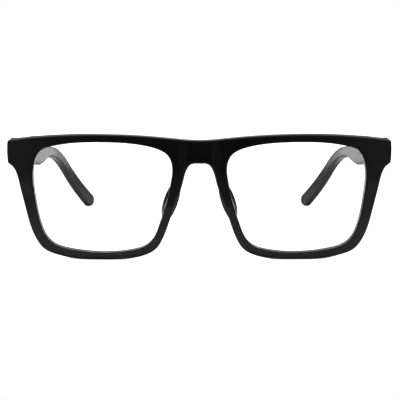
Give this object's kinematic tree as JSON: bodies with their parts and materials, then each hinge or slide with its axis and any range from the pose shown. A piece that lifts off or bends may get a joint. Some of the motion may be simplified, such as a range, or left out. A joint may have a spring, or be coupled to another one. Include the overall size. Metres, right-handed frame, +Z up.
{
  "type": "square eyeglasses",
  "caption": "Square full-rim eyeglasses of polished black acetate with clear lenses, fixed nose pads and temples that fold inwards on steel hinges.",
  "frame": {"origin": "centre of the bounding box on the table plane, which the rims and the temple tips touch", "axes": "+X to the wearer's left, +Y back along the temples, +Z up; the front faces -Y"},
  "size_m": [0.1444, 0.1478, 0.0471],
  "materials": {
    "acetate": "polished",
    "lens": "clear",
    "hinge": "satin",
    "screw": "polished",
    "core": "satin"
  },
  "bodies": {
    "front_frame": {"front": "acetate", "lens_left": "lens", "lens_right": "lens", "nose_pad_left": "acetate", "nose_pad_right": "acetate", "front_hinge_left": "hinge", "front_hinge_right": "hinge", "hinge_screw_left": "screw", "hinge_screw_right": "screw"},
    "left_temple": {"temple_left": "acetate", "temple_hinge_left": "hinge", "temple_core_left": "core"},
    "right_temple": {"temple_right": "acetate", "temple_hinge_right": "hinge", "temple_core_right": "core"}
  },
  "joints": [
    {"name": "left_hinge", "type": "hinge", "parent": "front_frame", "child": "left_temple", "pos_m": [0.06705, -0.05717, 0.03996], "axis": [0, 0.1353, 0.9908], "range_deg": [0, 85]},
    {"name": "right_hinge", "type": "hinge", "parent": "front_frame", "child": "right_temple", "pos_m": [-0.06705, -0.05717, 0.03996], "axis": [0, -0.1353, -0.9908], "range_deg": [0, 75]}
  ]
}
